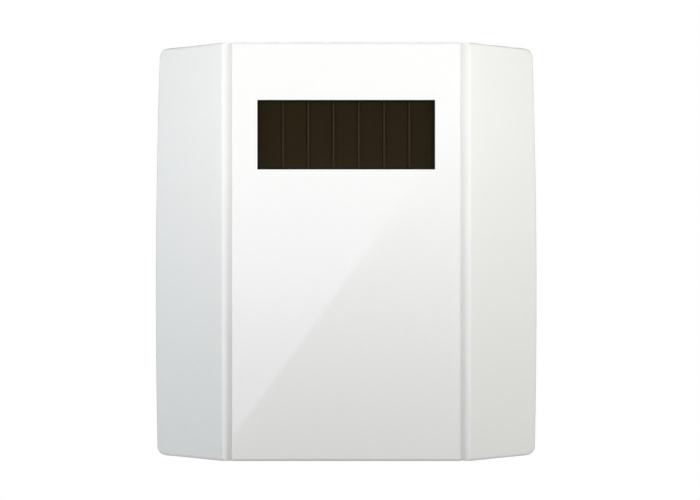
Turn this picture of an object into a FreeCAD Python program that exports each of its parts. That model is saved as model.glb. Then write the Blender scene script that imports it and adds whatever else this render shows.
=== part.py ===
"""Wall-mounted room sensor that is powered by a small solar module behind a window in its front.

The housing is a shallow box: a wall base that carries the electronics, and a hollow front cover that
laps over the base and snaps on to it. The cover has a flat centre panel, a groove down each side of
the panel, and two wings that fall back towards the wall. Its sides are slightly bowed.

Frame: millimetres, X to the right and Z up as seen from the room, Y towards the wall. The origin is
the middle of the wall face, so the object lies at negative Y and its front panel at Y = -DEPTH.
"""

import FreeCAD
import Part
import math
import os

Vector = FreeCAD.Vector
X_AXIS = Vector(1, 0, 0)
Y_AXIS = Vector(0, 1, 0)
Z_AXIS = Vector(0, 0, 1)

# Housing outline, seen from the room
HEIGHT = 100.0
WIDTH = 94.0  # between the widest points of the bowed sides
BOW_HEIGHT = -11.0  # height of the widest point, from the middle
BOW_RADIUS = 1600.0
CORNER_RADIUS = 2.2

# Housing depth and section
DEPTH = 32.0
WALL = 2.0
WING_DROP = 14.5  # how much nearer to the wall a wing's outer edge lies than the panel
EDGE_ROUND = 0.8  # round between the front and the walls
CREST_ROUND = 0.6  # round between the panel's plane and a wing
INNER_CORNER = 0.5

# Front panel and its two grooves
PANEL_WIDTH = 54.5
PANEL_EDGE_ROUND = 0.3
GROOVE_WIDTH = 2.25
GROOVE_FLAT = 0.15  # bottom of the groove, beside the panel
GROOVE_FOOT_SLOPE = 20.0  # degrees, where the groove's hollow flank leaves the bottom
GROOVE_TOP_SLOPE = 50.0
GROOVE_LIP_ROUND = 0.3  # where the groove's flank turns into the crest
GROOVE_RIB_WIDTH = 2.0  # of the rib that keeps the wall thick behind the groove
GROOVE_RIB_HEIGHT = 1.0
CREST_LAND = 0.15  # between the groove and the start of the wing

# Lapped joint between the cover and the base
BASE_DEPTH = 7.0
PARTING_GAP = 0.4
LAP_WALL = 1.0  # what is left of the cover's wall over the lip
LIP_HEIGHT = 3.2
LAP_CLEARANCE = 0.1
LIP_END_CLEARANCE = 0.3
BASE_EDGE = 0.5  # chamfer round the wall face

# Snap catches of the cover, and the windows in the lip that they drop into
CATCH_SPREAD = 40.0  # between the two catches of one wall
CATCH_LENGTH = 8.0
CATCH_WIDTH = 1.3
CATCH_HEIGHT = 0.6
CATCH_SETBACK = 1.6  # from the lip's front edge
CATCH_CLEARANCE = 0.25
RELEASE_LENGTH = 7.0
RELEASE_WIDTH = 1.5

# Air slots in the top and bottom walls of the cover
SLOT_COUNT = 11
SLOT_WIDTH = 1.6
SLOT_LENGTH = 12.0
SLOT_PITCH = 4.4
SLOT_SETBACK = 6.0  # from the front of the panel

# Solar module and its window
WINDOW_WIDTH = 42.4
WINDOW_HEIGHT = 16.6
WINDOW_TOP = 13.8  # from the top of the housing
GLASS_RECESS = 1.1
GLASS_MARGIN = 1.8  # glass hidden behind each edge of the window
GLASS_THICKNESS = 1.1
GLASS_CLEARANCE = 0.2
LOCATING_RIB = 1.2
LOCATING_RIB_HEIGHT = 1.8
CELL_COUNT = 7
CELL_GAP = 0.25
CELL_OVERLAP = 0.6  # cells hidden behind each edge of the window
CELL_THICKNESS = 0.12
FILM_THICKNESS = 0.15
FILM_MARGIN = 0.5  # bare glass round the backing film
FOAM_WIDTH = 32.0
FOAM_HEIGHT = 13.0
FOAM_THICKNESS = 2.0
LEAD_SPREAD = 40.0
LEAD_SIZE = 0.64  # side of a square lead
LEAD_CLEARANCE = 0.15
LEAD_TAIL = 1.2  # past the back of the board

# Carrier that holds the solar module off the board
CARRIER_MARGIN = 1.4  # past the glass
CARRIER_THICKNESS = 1.6
CARRIER_CORNER = 1.5
CARRIER_LEG_SPREAD = 30.0
CARRIER_LEG_INSET = 3.0  # from the carrier's upper and lower edges
CARRIER_LEG_SIZE = 3.2
CARRIER_OPENING_WIDTH = 24.0
CARRIER_OPENING_HEIGHT = 8.0
PEG_DIAMETER = 1.8
PEG_TAIL = 1.0

# Wall base
FLOOR = 2.0
SCREW_SPACING = 60.0
SCREW_SLOT_WIDTH = 3.8
SCREW_SLOT_LENGTH = 7.0
SCREW_PAD_MARGIN = 1.8
SCREW_PAD_HEIGHT = 0.8
TAPE_WIDTH = 24.0
TAPE_HEIGHT = 15.0
TAPE_DEPTH = 0.5
TAPE_MARGIN = 7.0  # from the outside of the base
POST_HEIGHT = 9.0
POST_SPAN = 5.0
POST_RIB = 1.2
POST_INSET = 4.0  # from the edges of the board
PIN_DIAMETER = 2.6
PIN_CLEARANCE = 0.1
PIN_TAIL = 1.0
HOOK_SPREAD = 26.0
HOOK_WIDTH = 6.0
HOOK_THICKNESS = 1.4
HOOK_BARB = 0.8
HOOK_BARB_HEIGHT = 1.6
HOOK_CLEARANCE = 0.15

# Circuit board
BOARD_WIDTH = 50.0
BOARD_END_MARGIN = 7.0  # between the board and the inside of the end walls
BOARD_THICKNESS = 1.6
BOARD_CORNER = 2.0

# Temperature sensor on its thermally separated tongue
SENSOR_FROM_LEFT = 14.0
SENSOR_FROM_BOTTOM = 5.5
BEAD_DIAMETER = 2.4
BEAD_LENGTH = 3.2
BEAD_STAND_OFF = 4.2
SENSOR_LEAD_SPREAD = 2.54
SENSOR_LEAD_WIDTH = 0.5
SENSOR_LEAD_THICKNESS = 0.4
MILLED_SLOT_WIDTH = 1.2
TONGUE_WIDTH = 9.0
TONGUE_HEIGHT = 8.5
TONGUE_NECK_SLOT = 5.0  # slot across the tongue's root

# Radio module and antenna
RADIO_WIDTH = 16.0
RADIO_HEIGHT = 20.0
RADIO_THICKNESS = 0.8
RADIO_FROM_LEFT = 12.0
RADIO_FROM_BOTTOM = 25.0
SHIELD_MARGIN = 1.5
SHIELD_HEIGHT = 2.2
SHIELD_WALL = 0.3
RADIO_EDGE_STRIP = 2.5  # left free above the shield
ANTENNA_WIDTH = 1.4
ANTENNA_THICKNESS = 0.4
ANTENNA_EDGE = 1.2  # from the left and top edges of the board
ANTENNA_STAND_OFF = 5.0
ANTENNA_RUN = 18.0  # along the top edge
ANTENNA_TAIL_WIDTH = 0.8

# Energy store, a coin-shaped capacitor
STORE_DIAMETER = 11.5
STORE_HEIGHT = 5.5
STORE_STAND = 0.6
STORE_FROM_RIGHT = 10.0
STORE_FROM_BOTTOM = 16.0
STORE_RIM = 0.5

# Learn switch
SWITCH_SIZE = 6.2
SWITCH_HEIGHT = 3.4
SWITCH_FROM_RIGHT = 21.0
SWITCH_FROM_BOTTOM = 34.0
SWITCH_WELL_DIAMETER = 4.4
SWITCH_WELL_DEPTH = 1.4
SWITCH_FRAME_THICKNESS = 0.3
PLUNGER_DIAMETER = 3.4
PLUNGER_FLANGE = 0.3
PLUNGER_FLANGE_THICKNESS = 0.6
PLUNGER_STAND = 1.4
PLUNGER_CLEARANCE = 0.08
DOME_THICKNESS = 0.1
DOME_RISE = 0.4

# Status light
LIGHT_SIZE = (3.2, 1.3, 1.6)  # along X, Y and Z
LIGHT_LENS = (2.2, 0.5)  # width and height above the body
LIGHT_FROM_RIGHT = 21.0
LIGHT_FROM_BOTTOM = 41.5

# Charge controller and the small chips round it
CHIP_WIDTH = 5.0
CHIP_HEIGHT = 4.0
CHIP_THICKNESS = 1.5
CHIP_LEAD_COUNT = 4
CHIP_LEAD_PITCH = 1.27
CHIP_LEAD_WIDTH = 0.45
CHIP_LEAD_REACH = 1.0
CHIP_LEAD_THICKNESS = 0.25
CHIP_FROM_LEFT = 12.0
CHIP_FROM_BOTTOM = 41.5
RESISTOR_COUNT = 5
RESISTOR_SIZE = (0.8, 0.5, 1.6)  # along X, Y and Z
CAPACITOR_COUNT = 3
CAPACITOR_SIZE = (1.3, 1.2, 2.0)
DIODE_COUNT = 2
DIODE_SIZE = (2.6, 2.2, 4.4)
ROW_GAP = 1.0

# Places that follow from the sizes above
HALF_HEIGHT = HEIGHT / 2
HALF_WIDTH = WIDTH / 2
FRONT_Y = -DEPTH
FOOT_ANGLE = math.radians(GROOVE_FOOT_SLOPE)
TOP_ANGLE = math.radians(GROOVE_TOP_SLOPE)
FLANK_RUN = GROOVE_WIDTH - GROOVE_FLAT - GROOVE_LIP_ROUND * math.sin(TOP_ANGLE)
FLANK_RADIUS = FLANK_RUN / (math.sin(TOP_ANGLE) - math.sin(FOOT_ANGLE))
LIP_DROP = GROOVE_LIP_ROUND * (1 - math.cos(TOP_ANGLE))
GROOVE_DEPTH = LIP_DROP + FLANK_RADIUS * (math.cos(FOOT_ANGLE) - math.cos(TOP_ANGLE))
CREST_X = PANEL_WIDTH / 2 + GROOVE_WIDTH + CREST_LAND
WING_ANGLE = math.atan2(WING_DROP, HALF_WIDTH - CREST_X)
LIP_TOP_Y = -(BASE_DEPTH + LIP_HEIGHT)
CATCH_Y = LIP_TOP_Y + CATCH_SETBACK
WINDOW_Z = HALF_HEIGHT - WINDOW_TOP - WINDOW_HEIGHT / 2
GLASS_WIDTH = WINDOW_WIDTH + 2 * GLASS_MARGIN
GLASS_HEIGHT = WINDOW_HEIGHT + 2 * GLASS_MARGIN
GLASS_Y = FRONT_Y + GLASS_RECESS
CELL_Y = GLASS_Y + GLASS_THICKNESS
FILM_Y = CELL_Y + CELL_THICKNESS
FOAM_Y = FILM_Y + FILM_THICKNESS
CARRIER_Y = FOAM_Y + FOAM_THICKNESS
CARRIER_WIDTH = GLASS_WIDTH + 2 * CARRIER_MARGIN
CARRIER_HEIGHT = GLASS_HEIGHT + 2 * CARRIER_MARGIN
BOARD_BACK_Y = -(FLOOR + POST_HEIGHT)
BOARD_Y = BOARD_BACK_Y - BOARD_THICKNESS  # the side with the components
BOARD_HEIGHT = HEIGHT - 2 * (WALL + BOARD_END_MARGIN)
BOARD_LEFT = -BOARD_WIDTH / 2
BOARD_RIGHT = BOARD_WIDTH / 2
BOARD_BOTTOM = -BOARD_HEIGHT / 2
BOARD_TOP = BOARD_HEIGHT / 2
SENSOR_X = BOARD_LEFT + SENSOR_FROM_LEFT
SENSOR_Z = BOARD_BOTTOM + SENSOR_FROM_BOTTOM
RADIO_X = BOARD_LEFT + RADIO_FROM_LEFT
RADIO_Z = BOARD_BOTTOM + RADIO_FROM_BOTTOM
RADIO_Y = BOARD_Y - RADIO_THICKNESS
STORE_X = BOARD_RIGHT - STORE_FROM_RIGHT
STORE_Z = BOARD_BOTTOM + STORE_FROM_BOTTOM
SWITCH_X = BOARD_RIGHT - SWITCH_FROM_RIGHT
SWITCH_Z = BOARD_BOTTOM + SWITCH_FROM_BOTTOM
SWITCH_Y = BOARD_Y - SWITCH_HEIGHT
LIGHT_X = BOARD_RIGHT - LIGHT_FROM_RIGHT
LIGHT_Z = BOARD_BOTTOM + LIGHT_FROM_BOTTOM
CHIP_X = BOARD_LEFT + CHIP_FROM_LEFT
CHIP_Z = BOARD_BOTTOM + CHIP_FROM_BOTTOM
LEG_X = CARRIER_LEG_SPREAD / 2
LEG_RISE = CARRIER_HEIGHT / 2 - CARRIER_LEG_INSET
POST_X = BOARD_RIGHT - POST_INSET
POST_Z = BOARD_TOP - POST_INSET


def block(x, y, z):
    """Box between the two limits given along each axis."""
    return Part.makeBox(x[1] - x[0], y[1] - y[0], z[1] - z[0], Vector(x[0], y[0], z[0]))


def centred_block(x, z, width, height, y_front, y_back):
    """Box of a width and height about a point of the front view."""
    return block((x - width / 2, x + width / 2), (y_front, y_back), (z - height / 2, z + height / 2))


def rod(x, z, diameter, y_front, y_back):
    """Round bar along Y."""
    return Part.makeCylinder(diameter / 2, y_back - y_front, Vector(x, y_front, z), Y_AXIS)


def rounded_plate(x, z, width, height, radius, y_front, y_back):
    """Plate with four rounded corners."""
    plate = centred_block(x, z, width, height, y_front, y_back)
    return plate.makeFillet(radius, edges_along(plate, Y_AXIS))


def prism(points, push):
    """Straight-sided outline pushed along a vector."""
    return Part.Face(Part.makePolygon(points + points[:1])).extrude(push)


def capsule(centre, along, across, length, width, push):
    """Slot-shaped outline, with round ends, pushed along a vector from its centre plane."""
    half_run = (length - width) / 2
    reach = width / 2
    start = centre - along * half_run
    end = centre + along * half_run
    edges = [
        Part.makeLine(start + across * reach, end + across * reach),
        Part.Arc(end + across * reach, end + along * reach, end - across * reach).toShape(),
        Part.makeLine(end - across * reach, start - across * reach),
        Part.Arc(start - across * reach, start - along * reach, start + across * reach).toShape(),
    ]
    return Part.Face(Part.Wire(edges)).extrude(push)


def is_straight(edge):
    """Whether an edge is a straight line."""
    return isinstance(edge.Curve, (Part.Line, Part.LineSegment))


def edges_along(shape, axis):
    """The straight edges of a shape that run along an axis."""
    return [
        edge
        for edge in shape.Edges
        if is_straight(edge) and abs(abs(edge.tangentAt(edge.FirstParameter).dot(axis)) - 1) < 1e-6
    ]


def fused(pieces):
    """One solid out of several pieces, without the seams between coplanar faces."""
    return pieces[0].fuse(pieces[1:]).removeSplitter()


def mirrored_places(x, z):
    """The four places at plus and minus x and z."""
    return [(side * x, end * z) for side in (-1, 1) for end in (-1, 1)]


# Housing forms that the cover and the base share


def outline_edges(inset, y):
    """Bowed outline of the housing, moved inwards by an inset, as edges in the plane at y."""
    half_height = HALF_HEIGHT - inset
    radius = BOW_RADIUS - inset
    centre_x = BOW_RADIUS - HALF_WIDTH

    def side_point(side, z):
        """Point of the right (1) or left (-1) side at a height."""
        return Vector(side * (math.sqrt(radius**2 - (z - BOW_HEIGHT) ** 2) - centre_x), y, z)

    right = [side_point(1, z) for z in (-half_height, BOW_HEIGHT, half_height)]
    left = [side_point(-1, z) for z in (half_height, BOW_HEIGHT, -half_height)]
    return [
        Part.Arc(*right).toShape(),
        Part.makeLine(right[-1], left[0]),
        Part.Arc(*left).toShape(),
        Part.makeLine(left[-1], right[0]),
    ]


def outline_prism(inset, y_front, y_back):
    """Solid with the housing's outline, between two planes."""
    solid = Part.Face(Part.Wire(outline_edges(inset, y_front))).extrude(Y_AXIS * (y_back - y_front))
    corner = max(CORNER_RADIUS - inset, INNER_CORNER)
    return solid.makeFillet(corner, edges_along(solid, Y_AXIS))


def front_profile_prism(inset, crest_round):
    """Everything behind the panel's plane and the two wing planes, all moved inwards by an inset."""
    overshoot = CORNER_RADIUS + WALL
    crest_x = CREST_X - inset * math.tan(WING_ANGLE / 2)
    crest_y = FRONT_Y + inset
    far_x = HALF_WIDTH + overshoot
    far_y = crest_y + (far_x - crest_x) * math.tan(WING_ANGLE)
    back_y = max(far_y, 0) + overshoot
    bottom = -HALF_HEIGHT - overshoot
    points = [
        Vector(-far_x, far_y, bottom),
        Vector(-crest_x, crest_y, bottom),
        Vector(crest_x, crest_y, bottom),
        Vector(far_x, far_y, bottom),
        Vector(far_x, back_y, bottom),
        Vector(-far_x, back_y, bottom),
    ]
    solid = prism(points, Z_AXIS * (HEIGHT + 2 * overshoot))
    crests = [edge for edge in edges_along(solid, Z_AXIS) if abs(edge.CenterOfMass.y - crest_y) < 1e-6]
    return solid.makeFillet(crest_round, crests)


def housing_prism(inset, crest_round, y_back):
    """The housing's form, moved inwards by an inset, from its front to a plane."""
    outline = outline_prism(inset, FRONT_Y - WALL, y_back)
    return outline.common(front_profile_prism(inset, crest_round))


def front_rim_edges(solid, y_back):
    """The edges where the front of the housing meets its walls."""
    outline = outline_prism(0, FRONT_Y - WALL, y_back)
    walls = [face for face in outline.Faces if abs(face.normalAt(0, 0).y) < 1e-6]
    shell = Part.Shell(walls)
    rim = []
    for edge in solid.Edges:
        middle = edge.valueAt((edge.FirstParameter + edge.LastParameter) / 2)
        along_y = abs(edge.tangentAt(edge.FirstParameter).dot(Y_AXIS)) > 1 - 1e-6
        on_wall = shell.distToShape(Part.Vertex(middle))[0] < 1e-4
        if on_wall and not along_y and middle.y < y_back - 1e-4:
            rim.append(edge)
    return rim


# Front cover


def groove_cutter(side):
    """Groove beside the panel: a step down, then a hollow flank back up that rounds into the crest."""
    panel_x = PANEL_WIDTH / 2
    bottom_x = panel_x + GROOVE_FLAT
    top_x = panel_x + GROOVE_WIDTH
    bottom_y = FRONT_Y + GROOVE_DEPTH
    above = FRONT_Y - WALL
    start_z = -HALF_HEIGHT - WALL

    def at(x, y):
        """Point of the section on this side of the panel."""
        return Vector(side * x, y, start_z)

    def on_panel_edge(angle):
        """Point of the round on the panel's edge, where it has turned away from the panel by an angle."""
        x = panel_x - PANEL_EDGE_ROUND * (1 - math.sin(angle))
        return at(x, FRONT_Y + PANEL_EDGE_ROUND * (1 - math.cos(angle)))

    def on_flank(angle):
        """Point of the hollow flank where its slope has an angle."""
        x = bottom_x + FLANK_RADIUS * (math.sin(angle) - math.sin(FOOT_ANGLE))
        return at(x, bottom_y - FLANK_RADIUS * (math.cos(FOOT_ANGLE) - math.cos(angle)))

    def on_lip(angle):
        """Point of the lip's round where its slope has an angle."""
        x = top_x - GROOVE_LIP_ROUND * math.sin(angle)
        return at(x, FRONT_Y + GROOVE_LIP_ROUND * (1 - math.cos(angle)))

    middle_angle = (FOOT_ANGLE + TOP_ANGLE) / 2
    edges = [
        Part.makeLine(at(panel_x - PANEL_EDGE_ROUND, above), on_panel_edge(0)),
        Part.Arc(on_panel_edge(0), on_panel_edge(math.pi / 4), on_panel_edge(math.pi / 2)).toShape(),
        Part.makeLine(on_panel_edge(math.pi / 2), at(panel_x, bottom_y)),
        Part.makeLine(at(panel_x, bottom_y), on_flank(FOOT_ANGLE)),
        Part.Arc(on_flank(FOOT_ANGLE), on_flank(middle_angle), on_flank(TOP_ANGLE)).toShape(),
        Part.Arc(on_lip(TOP_ANGLE), on_lip(TOP_ANGLE / 2), on_lip(0)).toShape(),
        Part.makeLine(on_lip(0), at(top_x, above)),
        Part.makeLine(at(top_x, above), at(panel_x - PANEL_EDGE_ROUND, above)),
    ]
    return Part.Face(Part.Wire(edges)).extrude(Z_AXIS * (HEIGHT + 2 * WALL))


def groove_rib(side):
    """Rib inside the cover that keeps its wall thick behind a groove."""
    centre_x = side * (PANEL_WIDTH / 2 + GROOVE_FLAT)
    front_y = FRONT_Y + GROOVE_DEPTH + WALL / 4
    back_y = FRONT_Y + WALL + GROOVE_RIB_HEIGHT
    return centred_block(centre_x, 0, GROOVE_RIB_WIDTH, HEIGHT - WALL, front_y, back_y)


def air_slots(end):
    """Row of slots through the top (1) or bottom (-1) wall of the cover."""
    start_y = FRONT_Y + SLOT_SETBACK
    z_limits = sorted((end * (HALF_HEIGHT + WALL), end * (HALF_HEIGHT - 2 * WALL)))
    centres = [(index - (SLOT_COUNT - 1) / 2) * SLOT_PITCH for index in range(SLOT_COUNT)]
    return [
        block((x - SLOT_WIDTH / 2, x + SLOT_WIDTH / 2), (start_y, start_y + SLOT_LENGTH), z_limits)
        for x in centres
    ]


def cover_catch(x, end):
    """Wedge inside the rim of the cover that snaps into a window of the base's lip."""
    wall_z = HALF_HEIGHT - LAP_WALL
    tip_z = wall_z - LAP_CLEARANCE - CATCH_HEIGHT
    start_x = x - CATCH_LENGTH / 2
    points = [
        Vector(start_x, CATCH_Y - CATCH_WIDTH / 2, end * wall_z),
        Vector(start_x, CATCH_Y - CATCH_WIDTH / 2, end * tip_z),
        Vector(start_x, CATCH_Y, end * tip_z),
        Vector(start_x, CATCH_Y + CATCH_WIDTH / 2, end * (wall_z - LAP_CLEARANCE)),
        Vector(start_x, CATCH_Y + CATCH_WIDTH / 2, end * wall_z),
    ]
    return prism(points, X_AXIS * CATCH_LENGTH)


def front_cover():
    """Hollow cover with its wings, grooves, window, air slots, ribs and catches."""
    rim_y = -(BASE_DEPTH + PARTING_GAP)
    blank = housing_prism(0, CREST_ROUND, rim_y)
    shell = blank.makeFillet(EDGE_ROUND, front_rim_edges(blank, rim_y))
    shell = shell.cut([groove_cutter(-1), groove_cutter(1)])
    shell = shell.cut(housing_prism(WALL, CREST_ROUND, rim_y))
    shell = shell.cut(outline_prism(LAP_WALL, LIP_TOP_Y - LIP_END_CLEARANCE, rim_y))
    rib_y = FRONT_Y + WALL + LOCATING_RIB_HEIGHT
    pocket_width = GLASS_WIDTH + 2 * GLASS_CLEARANCE
    pocket_height = GLASS_HEIGHT + 2 * GLASS_CLEARANCE
    rib = centred_block(
        0, WINDOW_Z, pocket_width + 2 * LOCATING_RIB, pocket_height + 2 * LOCATING_RIB,
        FRONT_Y + WALL / 2, rib_y,
    )
    catches = [cover_catch(side * CATCH_SPREAD / 2, end) for side in (-1, 1) for end in (-1, 1)]
    shell = fused([shell, rib, groove_rib(-1), groove_rib(1)] + catches)
    pocket = centred_block(0, WINDOW_Z, pocket_width, pocket_height, GLASS_Y, rib_y)
    window = centred_block(0, WINDOW_Z, WINDOW_WIDTH, WINDOW_HEIGHT, FRONT_Y - WALL, rib_y)
    return shell.cut([pocket, window] + air_slots(-1) + air_slots(1)).removeSplitter()


# Wall base


def screw_centres():
    """Centres of the two screw slots, level with each other and clear of the board."""
    return [Vector(side * SCREW_SPACING / 2, 0, 0) for side in (-1, 1)]


def pin_places():
    """The two posts, at opposite corners of the board, that have a pin through it."""
    return [(-POST_X, -POST_Z), (POST_X, POST_Z)]


def board_hook(side, z):
    """Springy arm beside the board, with a barb over the board's front."""
    inner_x = BOARD_WIDTH / 2 + HOOK_CLEARANCE
    outer_x = inner_x + HOOK_THICKNESS
    barb_y = BOARD_Y - HOOK_CLEARANCE
    points = [
        (inner_x, -FLOOR / 2),
        (inner_x, barb_y),
        (inner_x - HOOK_BARB, barb_y),
        (inner_x - HOOK_BARB, barb_y - HOOK_BARB_HEIGHT / 3),
        (inner_x, barb_y - HOOK_BARB_HEIGHT),
        (outer_x, barb_y - HOOK_BARB_HEIGHT),
        (outer_x, -FLOOR / 2),
    ]
    corners = [Vector(side * x, y, z - HOOK_WIDTH / 2) for x, y in points]
    return prism(corners, Z_AXIS * HOOK_WIDTH)


def wall_base():
    """Floor, skirt and lapped lip, with posts and hooks for the board and slots for wall screws."""
    skirt = outline_prism(0, -BASE_DEPTH, 0)
    back_edges = [edge for edge in skirt.Edges if abs(edge.CenterOfMass.y) < 1e-6]
    skirt = skirt.makeChamfer(BASE_EDGE, back_edges)
    lip = outline_prism(LAP_WALL + LAP_CLEARANCE, LIP_TOP_Y, -FLOOR)
    tray = fused([skirt, lip]).cut(outline_prism(WALL, LIP_TOP_Y, -FLOOR))

    posts = [
        centred_block(x, z, width, height, BOARD_BACK_Y, -FLOOR / 2)
        for x, z in mirrored_places(POST_X, POST_Z)
        for width, height in ((POST_SPAN, POST_RIB), (POST_RIB, POST_SPAN))
    ]
    pins = [rod(x, z, PIN_DIAMETER, BOARD_Y - PIN_TAIL, -FLOOR / 2) for x, z in pin_places()]
    hooks = [board_hook(side, end * HOOK_SPREAD / 2) for side in (-1, 1) for end in (-1, 1)]
    pad_length = SCREW_SLOT_LENGTH + 2 * SCREW_PAD_MARGIN
    pad_width = SCREW_SLOT_WIDTH + 2 * SCREW_PAD_MARGIN
    pads = [
        centred_block(centre.x, centre.z, pad_length, pad_width, -(FLOOR + SCREW_PAD_HEIGHT), -FLOOR / 2)
        for centre in screw_centres()
    ]
    base = fused([tray] + posts + pins + hooks + pads)

    slots = [
        capsule(centre, X_AXIS, Z_AXIS, SCREW_SLOT_LENGTH, SCREW_SLOT_WIDTH, Y_AXIS * -(2 * FLOOR))
        for centre in screw_centres()
    ]
    tape_x = HALF_WIDTH - TAPE_MARGIN - TAPE_WIDTH / 2
    tape_z = HALF_HEIGHT - TAPE_MARGIN - TAPE_HEIGHT / 2
    tapes = [
        centred_block(x, z, TAPE_WIDTH, TAPE_HEIGHT, -TAPE_DEPTH, FLOOR)
        for x, z in mirrored_places(tape_x, tape_z)
    ]
    window_length = CATCH_LENGTH + 2 * CATCH_CLEARANCE
    windows = [
        block(
            (x - window_length / 2, x + window_length / 2),
            (CATCH_Y - CATCH_WIDTH / 2 - CATCH_CLEARANCE, CATCH_Y + CATCH_WIDTH / 2 + CATCH_CLEARANCE),
            sorted((end * (HALF_HEIGHT - WALL - CATCH_CLEARANCE), end * (HALF_HEIGHT - LAP_WALL))),
        )
        for x in (-CATCH_SPREAD / 2, CATCH_SPREAD / 2)
        for end in (-1, 1)
    ]
    releases = [
        block(
            (x - RELEASE_LENGTH / 2, x + RELEASE_LENGTH / 2),
            (-BASE_DEPTH, -BASE_DEPTH + RELEASE_WIDTH),
            (-HALF_HEIGHT - WALL, -HALF_HEIGHT + LAP_WALL),
        )
        for x in (-CATCH_SPREAD / 2, CATCH_SPREAD / 2)
    ]
    return base.cut(slots + tapes + windows + releases).removeSplitter()


# Solar module


def solar_glass():
    """Front glass of the solar module, seated in the pocket behind the window."""
    return centred_block(0, WINDOW_Z, GLASS_WIDTH, GLASS_HEIGHT, GLASS_Y, CELL_Y)


def solar_cells():
    """Row of cells on the back of the glass, with a scribed gap between neighbours."""
    field_width = WINDOW_WIDTH + 2 * CELL_OVERLAP
    pitch = WINDOW_WIDTH / CELL_COUNT
    cells = []
    for index in range(CELL_COUNT):
        left = -WINDOW_WIDTH / 2 + index * pitch + CELL_GAP / 2
        right = left + pitch - CELL_GAP
        if index == 0:
            left = -field_width / 2
        if index == CELL_COUNT - 1:
            right = field_width / 2
        reach = WINDOW_HEIGHT / 2 + CELL_OVERLAP
        cells.append(block((left, right), (CELL_Y, FILM_Y), (WINDOW_Z - reach, WINDOW_Z + reach)))
    return Part.makeCompound(cells)


def solar_backing_film():
    """Protective film behind the cells."""
    width = GLASS_WIDTH - 2 * FILM_MARGIN
    height = GLASS_HEIGHT - 2 * FILM_MARGIN
    return centred_block(0, WINDOW_Z, width, height, FILM_Y, FOAM_Y)


def foam_pad():
    """Foam that presses the solar module into the cover's pocket."""
    return centred_block(0, WINDOW_Z, FOAM_WIDTH, FOAM_HEIGHT, FOAM_Y, CARRIER_Y)


def leg_places():
    """Where the carrier's legs stand on the board."""
    return [(x, WINDOW_Z + rise) for x, rise in mirrored_places(LEG_X, LEG_RISE)]


def lead_places():
    """Where the solar module's two leads run."""
    return [(side * LEAD_SPREAD / 2, WINDOW_Z) for side in (-1, 1)]


def peg_places():
    """The two legs, at opposite corners of the carrier, that have a peg through the board."""
    return [(-LEG_X, WINDOW_Z + LEG_RISE), (LEG_X, WINDOW_Z - LEG_RISE)]


def module_carrier():
    """Moulded table on four legs that carries the solar module in front of the board."""
    plate_back = CARRIER_Y + CARRIER_THICKNESS
    plate = rounded_plate(0, WINDOW_Z, CARRIER_WIDTH, CARRIER_HEIGHT, CARRIER_CORNER, CARRIER_Y, plate_back)
    legs = [
        centred_block(x, z, CARRIER_LEG_SIZE, CARRIER_LEG_SIZE, CARRIER_Y, BOARD_Y) for x, z in leg_places()
    ]
    pegs = [rod(x, z, PEG_DIAMETER, BOARD_Y, BOARD_BACK_Y + PEG_TAIL) for x, z in peg_places()]
    hole_size = LEAD_SIZE + 2 * LEAD_CLEARANCE
    holes = [centred_block(x, z, hole_size, hole_size, CARRIER_Y, plate_back) for x, z in lead_places()]
    opening = centred_block(
        0, WINDOW_Z, CARRIER_OPENING_WIDTH, CARRIER_OPENING_HEIGHT, CARRIER_Y, plate_back
    )
    return fused([plate] + legs + pegs).cut(holes + [opening])


def solar_leads():
    """Two square leads from the back of the solar module, through the carrier and the board."""
    tail_y = BOARD_BACK_Y + LEAD_TAIL
    leads = [centred_block(x, z, LEAD_SIZE, LEAD_SIZE, FOAM_Y, tail_y) for x, z in lead_places()]
    return Part.makeCompound(leads)


# Circuit board and what it carries


def tongue_slots():
    """Milled slots that keep the board's heat away from the temperature sensor on its tongue."""
    low = BOARD_BOTTOM - MILLED_SLOT_WIDTH
    high = BOARD_BOTTOM + TONGUE_HEIGHT
    middle = (low + high) / 2
    upright = [
        centred_block(x, middle, MILLED_SLOT_WIDTH, high - low, BOARD_Y, BOARD_BACK_Y)
        for x in (SENSOR_X - TONGUE_WIDTH / 2, SENSOR_X + TONGUE_WIDTH / 2)
    ]
    level = centred_block(
        SENSOR_X, high + MILLED_SLOT_WIDTH, TONGUE_NECK_SLOT, MILLED_SLOT_WIDTH, BOARD_Y, BOARD_BACK_Y
    )
    return upright + [level]


def circuit_board():
    """Main board, with holes for the posts, the carrier's pins and every lead, and the sensor's slots."""
    board = rounded_plate(0, 0, BOARD_WIDTH, BOARD_HEIGHT, BOARD_CORNER, BOARD_Y, BOARD_BACK_Y)
    drilled = [(x, z, PIN_DIAMETER + 2 * PIN_CLEARANCE) for x, z in pin_places()]
    drilled += [(x, z, PEG_DIAMETER + 2 * PIN_CLEARANCE) for x, z in peg_places()]
    holes = [rod(x, z, diameter, BOARD_Y, BOARD_BACK_Y) for x, z, diameter in drilled]
    soldered = [solar_leads(), temperature_leads(), antenna()]
    return board.cut(holes + tongue_slots() + soldered)


def temperature_bead():
    """Sealed drop-shaped bead of the temperature sensor, standing in the air off the board."""
    middle_y = BOARD_Y - BEAD_STAND_OFF
    radius = BEAD_DIAMETER / 2
    reach = BEAD_LENGTH / 2
    return turned(
        [
            (0, middle_y - reach),
            (radius / 2, middle_y - reach * 0.9),
            (radius, middle_y - reach / 3),
            (radius, middle_y + reach / 6),
            (radius / 2, middle_y + reach),
            (0, middle_y + reach),
        ],
        SENSOR_X,
        SENSOR_Z,
    )


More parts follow.
